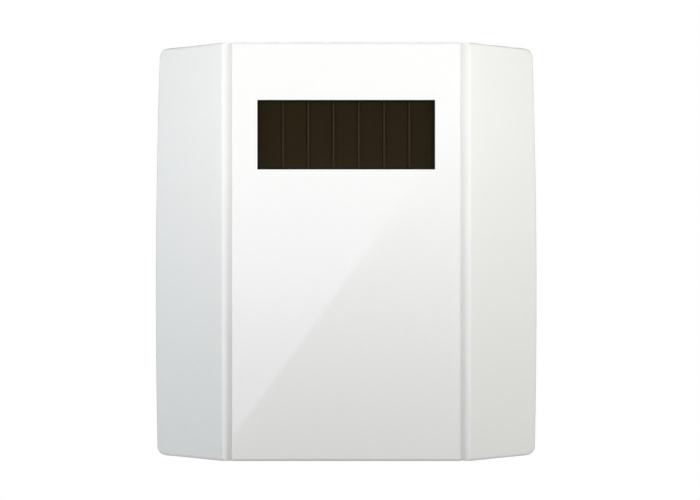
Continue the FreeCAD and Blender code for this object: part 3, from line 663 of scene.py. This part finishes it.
WHITE_GLOSS = Moulding("white_gloss_moulding", (0.90, 0.90, 0.895), Grain.POLISHED, 0.008)
WHITE_SATIN = Moulding("white_satin_moulding", (0.86, 0.86, 0.85), Grain.SATIN)
BLACK_SATIN = Moulding("black_satin_moulding", (0.022, 0.022, 0.024), Grain.SATIN, 0.12)
BLACK_PACKAGE = Moulding("black_package", (0.016, 0.016, 0.017), Grain.MATTE, 0.15)
RED_PLUNGER = Moulding("red_plunger", (0.42, 0.020, 0.016), Grain.SATIN, 0.05)
MILKY_LENS = Moulding("milky_lens", (0.80, 0.80, 0.74), Grain.SATIN, 0.03)
DARK_EPOXY = Moulding("dark_epoxy", (0.020, 0.018, 0.017), Grain.POLISHED, 0.2)
BACKING_FILM = Moulding("backing_film", (0.030, 0.026, 0.020), Grain.SATIN, 0.10)
GREY_FOAM = Foam("grey_foam", (0.16, 0.16, 0.165))
TINNED = Metal("tinned_metal", (0.72, 0.71, 0.68), 0.26)
CAN_METAL = Metal("can_metal", (0.66, 0.66, 0.66), 0.30, (1.0, 1.0, 1.0), 0.001)
SPRING_METAL = Metal("spring_metal", (0.78, 0.76, 0.70), 0.22)
SOLDER = Metal("solder", (0.68, 0.68, 0.67), 0.20, (1.0, 1.0, 1.0), 0.004)
COPPER_UNDER_MASK = Moulding("track_under_lacquer", (0.030, 0.150, 0.045), Grain.SATIN, 0.08)
LEGEND_INK = Moulding("legend_ink", (0.78, 0.78, 0.74), Grain.MATTE, 0.05)
CLEAR_PANE = ClearPane("clear_pane", (0.010, 0.007, 0.003), 0.12)
CELL_CONDUCTOR = Moulding("cell_conductor", (0.068, 0.047, 0.026), Grain.MATTE, 0.08, 0.05)
# Near-black ink for the scribe lines between the cells, and for the painted shadow line round the window's
# edge.
SCRIBE_AND_PAINTED_SHADOW = Moulding("cell_scribe_and_painted_shadow", (0.0045, 0.0018, 0.0003), Grain.MATTE, 0.08, 0.05)


# Pieces


def dress(node: str, finish: Finish) -> Piece:
    """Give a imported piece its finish.

    Args:
        node: the piece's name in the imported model.
        finish: the finish, whose make method builds the material.

    Returns:
        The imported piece.
    """
    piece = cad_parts[node]
    material = finish.make()
    if not piece.material_slots:
        piece.data.materials.append(material)
    for slot in piece.material_slots:
        slot.material = material
    return piece


def add(piece: Piece, finish: Finish, body: str = HOUSING) -> Piece:
    """Finish a new piece and hang it on a body.

    Args:
        piece: the new piece.
        finish: the finish, whose make method builds the material.
        body: the body that it moves with.

    Returns:
        The same piece.
    """
    piece.data.materials.append(finish.make())
    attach(piece, body)
    return piece


def middle(node: str) -> Triple:
    """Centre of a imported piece's box, in millimetres."""
    low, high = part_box(node)
    return tuple((low + high) / 2 / MM)


@dataclass
class RefinedCopy:
    """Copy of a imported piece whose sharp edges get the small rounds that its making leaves.

    Its back face may be held clear of the piece that it touches, so that light meets them in one order.
    """

    node: str
    edge_round: float = 0.12
    segments: int = 2
    sharp_angle: float = 28.0
    flat_angle: float = 0.08
    merge_distance: float = 0.001
    back_band: float = 0.01
    back_gap: float = 0.0

    def merged(self) -> bpy.types.Mesh:
        """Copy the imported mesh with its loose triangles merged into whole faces.

        Formula: a point within the back band of the deepest point moves forward by the back gap.

        Returns:
            The new mesh.
        """
        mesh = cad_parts[self.node].data.copy()
        mesh.name = f"{self.node}_refined"
        mesh.materials.clear()
        shape = bmesh.new()
        shape.from_mesh(mesh)
        bmesh.ops.remove_doubles(shape, verts=shape.verts, dist=self.merge_distance * MM)
        limit = math.radians(self.flat_angle)
        bmesh.ops.dissolve_limit(shape, angle_limit=limit, verts=shape.verts, edges=shape.edges)
        shape.to_mesh(mesh)
        shape.free()
        places = np.empty(3 * len(mesh.vertices))
        mesh.vertices.foreach_get("co", places)
        depth = places[1::3]
        depth[depth > depth.max() - self.back_band * MM] -= self.back_gap * MM
        mesh.vertices.foreach_set("co", places)
        return mesh

    def build(self) -> Piece:
        """Round the sharp edges of the merged copy, and keep its flat faces flat.

        Returns:
            The new piece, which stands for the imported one.
        """
        mesh = self.merged()
        piece = bpy.data.objects.new(mesh.name, mesh)
        bpy.context.scene.collection.objects.link(piece)
        mesh.polygons.foreach_set("use_smooth", np.ones(len(mesh.polygons), dtype=bool))
        rounds = piece.modifiers.new("edge_rounds", "BEVEL")
        rounds.width = self.edge_round * MM
        rounds.segments = self.segments
        rounds.limit_method = "ANGLE"
        rounds.angle_limit = math.radians(self.sharp_angle)
        weights = piece.modifiers.new("flat_faces", "WEIGHTED_NORMAL")
        weights.weight = 100
        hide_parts(self.node)
        return piece


@dataclass
class Housing:
    """White front cover and wall base."""

    def build(self) -> list[Piece]:
        """Build both shells.

        Returns:
            The two pieces.
        """
        cover = add(RefinedCopy("front_cover").build(), WHITE_GLOSS)
        base = add(RefinedCopy("wall_base").build(), WHITE_SATIN)
        return [cover, base]


@dataclass
class SolarModule:
    """Glass with seven cells behind it, its backing film, its foam, its carrier and its leads."""

    cell_count: int = 7
    window_width: float = 42.4
    window_height: float = 16.6
    line_width: float = 0.28
    scribe_width: float = 0.26
    scribe_offsets: Pair = (-0.42, 0.55)
    # Width of the painted shadow line round the cells, and how far it reaches past the window's edge.
    shadow_line_width: float = 0.26
    shadow_line_overlap: float = 0.03
    line_height: float = 0.03
    line_sink: float = 0.01
    line_points: int = 9
    glass_edge_round: float = 0.1
    glass_gap: float = 0.06
    film_colour: Triple = (0.0271, 0.0169, 0.0044)
    # The cells' ends are greener than their middle, and painted lighter to offset the shade of the window's
    # recess.
    film_end_colour: Triple = (0.0245, 0.0222, 0.0058)
    film_end_distance: float = 7.2

    def dress(self) -> list[Piece]:
        """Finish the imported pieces.

        Returns:
            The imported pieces.
        """
        film = ThinFilm(
            "solar_film",
            self.film_colour,
            self.film_end_colour,
            middle("solar_cells")[2],
            self.film_end_distance,
        )
        return [
            dress("solar_cells", film),
            dress("solar_backing_film", BACKING_FILM),
            dress("foam_pad", GREY_FOAM),
            dress("module_carrier", BLACK_SATIN),
            dress("solar_leads", TINNED),
        ]

    def line_depths(self) -> Pair:
        """Depths of a printed line's crown, and of its foot inside the cells."""
        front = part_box("solar_cells")[0].y / MM
        return front - self.line_height, front + self.line_sink

    def upright_lines(self, name: str, offset: float, width: float, finish: Finish) -> Piece:
        """Print one thin upright line on or beside each boundary between two cells.

        Args:
            name: name of the piece.
            offset: distance of the line from the boundary, to the right.
            width: width of the line.
            finish: the line's finish.

        Returns:
            The piece with all the lines.
        """
        centre = middle("solar_cells")
        pitch = self.window_width / self.cell_count
        # The upright lines stop at the painted shadow line round the window.
        reach = self.window_height / 2 - self.shadow_line_width
        heights = np.linspace(centre[2] - reach, centre[2] + reach, self.line_points)
        places = centre[0] + (np.arange(1, self.cell_count) - self.cell_count / 2) * pitch + offset
        lines = [
            ribbon(np.stack([np.full_like(heights, x), heights], axis=1), width, *self.line_depths())
            for x in places
        ]
        return add(smooth(grid_piece(name, np.stack(lines), closed_v=True)), finish)

    def painted_window_shadow(self) -> Piece:
        """Lay a dark line round the cells, along the window's edge: painted shadow of the window's recess.

        Returns:
            The piece.
        """
        centre = middle("solar_cells")
        x = self.window_width / 2 - self.shadow_line_width / 2 + self.shadow_line_overlap
        z = self.window_height / 2 - self.shadow_line_width / 2 + self.shadow_line_overlap
        corners = np.array([[-x, -z], [x, -z], [x, z], [-x, z]]) + np.array([centre[0], centre[2]])
        grid = ribbon(corners, self.shadow_line_width, *self.line_depths(), closed=True)
        return add(smooth(grid_piece("window_edge_painted_shadow", grid, True, True)), SCRIBE_AND_PAINTED_SHADOW)

    def build(self) -> list[Piece]:
        """Build the glass, the printed lines on the cells, and the painted shadow line round them.

        Returns:
            The new pieces.
        """
        near, far = self.scribe_offsets
        glass = RefinedCopy("solar_glass", self.glass_edge_round, back_gap=self.glass_gap).build()
        return [
            add(glass, CLEAR_PANE),
            self.upright_lines("cell_conductors", 0.0, self.line_width, CELL_CONDUCTOR),
            self.upright_lines("cell_scribes_left", near, self.scribe_width, SCRIBE_AND_PAINTED_SHADOW),
            self.upright_lines("cell_scribes_right", far, self.scribe_width / 2, SCRIBE_AND_PAINTED_SHADOW),
            # Painted shadow of the window's recess, as a dark line round the cells.
            self.painted_window_shadow(),
        ]


@dataclass
class SensorBoard:
    """Main board with its chips, its solder joints, its tracks and its printed outlines.

    A point of the vias' section is a share of their radius, and a depth from the board's face. What
    is printed or plated sinks a little way into the board.
    """

    track_width: float = 0.5
    track_height: float = 0.035
    track_sink: float = 0.02
    ink_width: float = 0.18
    ink_height: float = 0.015
    ink_sink: float = 0.01
    ink_margin: float = 0.5
    controller_margin: float = 1.5
    store_ring_radius: float = 6.4
    store_ring_steps: int = 48
    lead_insets: tuple[tuple[str, float], ...] = (("solar_leads", 0.32), ("temperature_leads", 0.25))
    antenna_insets: Pair = (0.7, 0.2)
    pad_radius: float = 1.05
    lead_radius: float = 0.42
    joint_height: float = 0.95
    joint_lip: float = 0.03
    joint_points: int = 9
    joint_steps: int = 20
    via_radius: float = 0.45
    via_steps: int = 14
    via_section: tuple[Pair, ...] = (
        (0, 0.02), (1, 0.02), (1, -0.03), (0.8, -0.05), (0.5, -0.04), (0.3, -0.005), (0, -0.002),
    )
    via_places: tuple[Pair, ...] = (
        (8, 8), (8, -24), (-2, -12), (-20, 6), (20, 4),
        (12, 12), (-6, 12), (-2, -30), (20, -12), (-20, -30),
    )

    def faces(self) -> Pair:
        """Depths of the board's component side and of its back."""
        low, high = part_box("circuit_board")
        return low.y / MM, high.y / MM

    def dress(self) -> list[Piece]:
        """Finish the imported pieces.

        Returns:
            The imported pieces.
        """
        front, back = self.faces()
        laminate = SolderMask(
            "green_board", (0.012, 0.105, 0.030), (0.34, 0.33, 0.16), (front + back) / 2, (back - front) / 2
        )
        resistors = CappedChip(
            "resistor_chips", (0.018, 0.018, 0.020), middle("resistors")[2], cap_start=0.5
        )
        capacitors = CappedChip(
            "capacitor_chips", (0.36, 0.23, 0.12), middle("capacitors")[2], cap_start=0.62
        )
        diodes = CappedChip(
            "diode_chips", (0.020, 0.020, 0.021), middle("diodes")[2], cap_start=1.98, band=(1.15, 1.65)
        )
        return [
            dress("circuit_board", laminate),
            dress("charge_controller", BLACK_PACKAGE),
            dress("charge_controller_leads", TINNED),
            dress("resistors", resistors),
            dress("capacitors", capacitors),
            dress("diodes", diodes),
            dress("status_light", MILKY_LENS),
        ]

    def joint_places(self) -> np.ndarray:
        """Find where the leads and the antenna's feet come through the board.

        Returns:
            Their centres, as rows of (x, z).
        """
        places = []
        for node, inset in self.lead_insets:
            low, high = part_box(node)
            centre_z = (low.z + high.z) / 2 / MM
            places += [(low.x / MM + inset, centre_z), (high.x / MM - inset, centre_z)]
        low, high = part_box("antenna")
        wide, narrow = self.antenna_insets
        places += [(low.x / MM + wide, low.z / MM + narrow), (high.x / MM - narrow, high.z / MM - wide)]
        return np.array(places)

    def solder_joints(self) -> Piece:
        """Solder round each lead on the board's back.

        Formula: the radius falls from the pad's to the lead's with the square of the height left.

        Returns:
            The piece.
        """
        back = self.faces()[1]
        rise = np.linspace(0, 1, self.joint_points)
        radius = self.lead_radius + (self.pad_radius - self.lead_radius) * (1 - rise) ** 2
        depth = back + self.joint_lip + self.joint_height * rise
        tip = [[0, depth[-1] + self.joint_lip]]
        flank = np.stack([radius, depth], axis=1)[::-1]
        foot = [[radius[0], back], [0, back]]
        grids = turned(np.concatenate([tip, flank, foot]), self.joint_places(), self.joint_steps)
        return add(smooth(grid_piece("solder_joints", grids, closed_u=True)), SOLDER)

    def vias(self) -> Piece:
        """Small plated rings where tracks change sides.

        Returns:
            The piece.
        """
        front = self.faces()[0]
        profile = np.array(self.via_section) * (self.via_radius, 1) + (0, front)
        grids = turned(profile, np.array(self.via_places), self.via_steps)
        return add(smooth(grid_piece("vias", grids, closed_u=True)), TINNED)

    def tracks(self) -> list[Piece]:
        """Copper tracks that show through the lacquer on the component side.

        Returns:
            One piece for each run of tracks.
        """
        front = self.faces()[0]
        routes = {
            "solar_positive": [(20, 26.5), (20, 16), (22.5, 13.5), (22.5, -8), (17.5, -13), (13.5, -13)],
            "solar_negative": [(-20, 26.5), (-20, 12), (-16, 8), (-16, 3.5)],
            "store_feed": [(13, -19), (6, -12), (-6, -12)],
            "controller_out": [(-10.5, 3.4), (-10.5, 10), (-8.5, 12), (6, 12)],
            "radio_data": [(-8, 3.4), (-8, 6), (-5, 9), (2, 9), (4, 7), (4, 3)],
            "radio_supply": [(-5, -16), (-1, -12), (-1, -4)],
            "sensor_left": [(-12.3, -34), (-12.3, -30), (-10, -28), (-10, -26.5)],
            "sensor_right": [(-9.7, -34), (-9.7, -31), (-8, -29.3), (-8, -26.5)],
            "switch_line": [(6.5, -10), (8, -11.5), (8, -24), (4, -28), (-2, -28)],
        }
        pieces = []
        for name, route in routes.items():
            path = np.array(route, float)
            grid = ribbon(path, self.track_width, front - self.track_height, front + self.track_sink)
            piece = smooth(grid_piece(f"track_{name}", grid, closed_v=True))
            pieces.append(add(piece, COPPER_UNDER_MASK))
        return pieces

    def frame_path(self, node: str, margin: float) -> np.ndarray:
        """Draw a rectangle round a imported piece.

        Args:
            node: the piece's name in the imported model.
            margin: distance of the rectangle from the piece's box.

        Returns:
            The four corners, as rows of (x, z).
        """
        low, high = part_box(node)
        left, right = low.x / MM - margin, high.x / MM + margin
        bottom, top = low.z / MM - margin, high.z / MM + margin
        return np.array([[left, bottom], [right, bottom], [right, top], [left, top]])

    def printed_outlines(self) -> list[Piece]:
        """White printed outlines round the larger pieces.

        Returns:
            One piece for each outline.
        """
        front = self.faces()[0]
        margins = {
            "learn_switch_base": self.ink_margin,
            "charge_controller": self.controller_margin,
            "status_light": self.ink_margin,
            "resistors": self.ink_margin,
            "capacitors": self.ink_margin,
            "diodes": self.ink_margin,
        }
        paths = {node: self.frame_path(node, margin) for node, margin in margins.items()}
        turn = np.linspace(0, 2 * np.pi, self.store_ring_steps, endpoint=False)
        store = middle("energy_store")
        ring = self.store_ring_radius * np.stack([np.cos(turn), np.sin(turn)], axis=1)
        paths["energy_store"] = ring + (store[0], store[2])
        pieces = []
        for node, path in paths.items():
            grid = ribbon(path, self.ink_width, front - self.ink_height, front + self.ink_sink, closed=True)
            piece = smooth(grid_piece(f"outline_{node}", grid, True, True))
            pieces.append(add(piece, LEGEND_INK))
        return pieces

    def build(self) -> list[Piece]:
        """Build the fine detail on the board.

        Returns:
            The new pieces.
        """
        return [self.solder_joints(), self.vias(), *self.tracks(), *self.printed_outlines()]


@dataclass
class RadioUnit:
    """Radio board, its shield and the bent-strip antenna."""

    def dress(self) -> list[Piece]:
        """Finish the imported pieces.

        Returns:
            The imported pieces.
        """
        low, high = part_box("radio_board")
        laminate = SolderMask(
            "radio_laminate", (0.010, 0.055, 0.022), (0.30, 0.29, 0.14),
            (low.y + high.y) / 2 / MM, (high.y - low.y) / 2 / MM,
        )
        return [
            dress("radio_board", laminate),
            dress("radio_shield", Metal("shield_metal", (0.70, 0.69, 0.66), 0.32, (0.06, 1.0, 1.0))),
            dress("antenna", Metal("antenna_metal", (0.74, 0.72, 0.66), 0.24)),
        ]


@dataclass
class TemperatureProbe:
    """Sealed bead on two splayed leads."""

    def dress(self) -> list[Piece]:
        """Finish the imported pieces.

        Returns:
            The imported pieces.
        """
        return [dress("temperature_bead", DARK_EPOXY), dress("temperature_leads", TINNED)]


@dataclass
class EnergyStore:
    """Coin-shaped storage capacitor."""

    def dress(self) -> list[Piece]:
        """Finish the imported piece.

        Returns:
            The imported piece.
        """
        return [dress("energy_store", CAN_METAL)]


@dataclass
class LearnSwitch:
    """Learn switch: its body, frame, snap dome and plunger."""

    def dress(self) -> list[Piece]:
        """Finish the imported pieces.

        Returns:
            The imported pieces.
        """
        return [
            dress("learn_switch_base", BLACK_PACKAGE),
            dress("learn_switch_frame", TINNED),
            dress("learn_switch_dome", SPRING_METAL),
            dress("learn_switch_plunger", RED_PLUNGER),
        ]


# Studio


@dataclass(frozen=True)
class SoftBox:
    """Rectangular soft light that faces a point, and may be kept out of reflections."""

    name: str
    place: Triple
    size: Pair
    power: float
    target: Triple = (0.0, 0.0, 0.0)
    colour: Triple = (1.0, 1.0, 1.0)
    mirrored: bool = True

    def build(self) -> Piece:
        """Add the light.

        Returns:
            The light.
        """
        data = bpy.data.lights.new(self.name, "AREA")
        data.shape = "RECTANGLE"
        data.size, data.size_y = metres(self.size)
        data.energy = self.power
        data.color = self.colour
        lamp = bpy.data.objects.new(self.name, data)
        bpy.context.scene.collection.objects.link(lamp)
        facing = metres(self.target) - metres(self.place)
        lamp.location = metres(self.place)
        lamp.rotation_euler = facing.to_track_quat("-Z", "Y").to_euler()
        lamp.visible_camera = False
        lamp.visible_glossy = self.mirrored
        return lamp


@dataclass
class GlossSheet:
    """Lit sheet behind the camera whose mirror image lies across the panel's upper left.

    Only reflections see it. Its slanted edge is the diagonal on the panel, which fades out upwards,
    from the full height to the faint one.
    """

    name: str = "gloss_sheet"
    depth: float = -470.0
    edge_low: Pair = (-49.6, -79.5)
    edge_high: Pair = (35.4, 38.1)
    reach: float = 260.0
    grid_points: int = 9
    full_height: float = -4.0
    faint_height: float = 74.0
    glow: Triple = (1.45, 1.24, 1.65)

    def build(self, surround: Triple) -> Piece:
        """Make the sheet: a flat rectangle spanned by its slanted edge and the direction away from it.

        Args:
            surround: light all round, which the sheet's glow fades into.

        Returns:
            The sheet.
        """
        low = np.array(self.edge_low)
        high = np.array(self.edge_high)
        along = (high - low) / np.linalg.norm(high - low)
        away = np.array([-along[1], along[0]])
        rows = np.linspace(-1, 1, self.grid_points)
        columns = np.linspace(0, 1, self.grid_points)
        u, v = np.meshgrid(rows, columns, indexing="ij")
        flat = (low + high) / 2 + self.reach * (u[..., None] * along + v[..., None] * away)
        points = np.stack([flat[..., 0], np.full_like(u, self.depth), flat[..., 1]], axis=-1)
        sheet = grid_piece(self.name, points)
        nodes = NodeTree(bpy.data.materials.new("sheet_glow"))
        split = nodes.add("ShaderNodeSeparateXYZ")
        nodes.join(nodes.place(), split.inputs["Vector"])
        fade = nodes.spread(split.outputs["Z"], 1, 0, self.full_height * MM, self.faint_height * MM)
        full = tuple(level + extra for level, extra in zip(surround, self.glow))
        glow = nodes.add("ShaderNodeEmission")
        nodes.join(nodes.tint(fade, surround, full), glow.inputs["Color"])
        sheet.data.materials.append(nodes.finish(glow.outputs["Emission"]))
        sheet.visible_camera = False
        sheet.visible_diffuse = False
        sheet.visible_shadow = False
        return sheet


@dataclass
class Studio:
    """Soft white studio, and the camera at the photograph's straight front view.

    The frame's size, the object's centre in it and the row that the camera points at are in pixels. The
    surroundings' light fades to its rear share as a ray's direction turns from the front to the back.
    """

    distance: float = 415.0
    focal_length: float = 89.5
    sensor_width: float = 36.0
    frame_size: tuple[int, int] = (700, 500)
    object_centre: Pair = (346.2, 251.65)
    principal_row: float = 263.6
    surround: Triple = (0.356, 0.354, 0.352)
    rear_share: float = 0.22
    rear_fade: Pair = (-0.1, 0.3)
    floor_drop: float = 1200.0
    floor_size: float = 3200.0
    floor_dip: float = 300.0
    floor_rings: int = 24
    floor_steps: int = 64
    floor_glow: float = 0.78
    floor_tones: Pair = (0.86, 0.89)
    floor_roughness: Pair = (0.55, 0.65)
    floor_cloud_pitch: float = 60.0
    floor_sheen_pitch: float = 30.0
    boxes: tuple[SoftBox, ...] = (
        SoftBox(
            "near_key",
            (0.0, -120.0, 50.0),
            (400.0, 40.0),
            power=0.139,
            target=(0.0, -30.0, 30.0),
            colour=(1.0, 1.0, 0.985),
            mirrored=False,
        ),
        SoftBox(
            "cool_side", (-500.0, -260.0, 60.0), (300.0, 300.0), power=0.793, colour=(0.854, 0.966, 1.0)
        ),
        SoftBox(
            "warm_side", (500.0, -260.0, 60.0), (300.0, 300.0), power=0.908, colour=(0.987, 1.0, 0.910)
        ),
        SoftBox("rear_fill", (0.0, 550.0, 100.0), (200.0, 200.0), power=1.6),
    )

    def build(self) -> None:
        """Place the camera, the lights, the floor and the surroundings."""
        self.camera()
        for box in self.boxes:
            box.build()
        GlossSheet().build(self.surround)
        self.floor()
        self.surroundings()

    def camera(self) -> None:
        """Set the camera square to the front, with the object where the photograph has it."""
        low, high = FRAME_BOX
        scene = bpy.context.scene
        scene.view_settings.view_transform = "Standard"
        scene.view_settings.look = "None"
        optics = bpy.data.cameras.new("camera")
        optics.sensor_width = self.sensor_width
        optics.lens = self.focal_length
        optics.clip_start = 0.01
        camera = bpy.data.objects.new("camera", optics)
        scene.collection.objects.link(camera)
        scene.camera = camera
        columns, rows = self.frame_size
        centre_column, centre_row = self.object_centre
        pixels_per_metre = self.focal_length / self.sensor_width * columns / (self.distance * MM)
        drop = (self.principal_row - centre_row) / pixels_per_metre
        camera.location = ((low.x + high.x) / 2, low.y - self.distance * MM, (low.z + high.z) / 2 - drop)
        camera.rotation_euler = (math.pi / 2, 0, 0)
        optics.shift_x = (columns / 2 - centre_column) / columns
        optics.shift_y = (self.principal_row - rows / 2) / columns

    def floor(self) -> Piece:
        """Pale floor far below the wall-hung sensor, outside the front view.

        Formula: a round sheet whose rim dips by the fourth power of its radius.

        Returns:
            The floor.
        """
        shares = np.linspace(0, 1, self.floor_rings)
        angles = np.linspace(0, 2 * np.pi, self.floor_steps, endpoint=False)
        radius, angle = np.meshgrid(shares, angles)
        x = self.floor_size * radius * np.cos(angle)
        y = self.floor_size * radius * np.sin(angle)
        z = -self.floor_drop - self.floor_dip * radius**4
        floor = smooth(grid_piece("floor", np.stack([x, y, z], axis=-1), closed_u=True))
        nodes = NodeTree(bpy.data.materials.new("pale_floor"))
        dark, light = ((tone, tone, tone) for tone in self.floor_tones)
        material = nodes.surface(
            nodes.body(Emission_Strength=self.floor_glow),
            Base_Color=nodes.tint(nodes.noise(self.floor_cloud_pitch), dark, light),
            Roughness=nodes.spread(nodes.noise(self.floor_sheen_pitch), *self.floor_roughness),
        )
        floor.data.materials.append(material)
        floor.visible_diffuse = False
        return floor

    def surroundings(self) -> None:
        """Show white beyond the object, and light the object more dimly, least from behind."""
        world = bpy.data.worlds.new("studio")
        bpy.context.scene.world = world
        nodes = NodeTree(world)
        direction = nodes.add("ShaderNodeSeparateXYZ")
        nodes.join(nodes.add("ShaderNodeTexCoord").outputs["Generated"], direction.inputs["Vector"])
        strength = nodes.spread(direction.outputs["Y"], 1.0, self.rear_share, *self.rear_fade)
        seen = nodes.add("ShaderNodeBackground")
        seen.inputs["Color"].default_value = (1, 1, 1, 1)
        given = nodes.add("ShaderNodeBackground")
        given.inputs["Color"].default_value = (*self.surround, 1)
        nodes.join(strength, given.inputs["Strength"])
        mix = nodes.add("ShaderNodeMixShader")
        nodes.join(nodes.add("ShaderNodeLightPath").outputs["Is Camera Ray"], mix.inputs["Fac"])
        nodes.join(given.outputs["Background"], mix.inputs[1])
        nodes.join(seen.outputs["Background"], mix.inputs[2])
        nodes.finish(mix.outputs["Shader"])


def main() -> None:
    """Build and dress the sensor's sub-assemblies in order, then the studio."""
    logging.basicConfig(level=logging.INFO, format="%(message)s")
    for piece in Housing().build():
        LOG.info("built %s", piece.name)
    solar = SolarModule()
    board = SensorBoard()
    for group in (solar, board, RadioUnit(), TemperatureProbe(), EnergyStore(), LearnSwitch()):
        for piece in group.dress():
            LOG.info("dressed %s", piece.name)
    for group in (solar, board):
        for piece in group.build():
            LOG.info("built %s", piece.name)
    Studio().build()


if __name__ == "__main__":
    main()
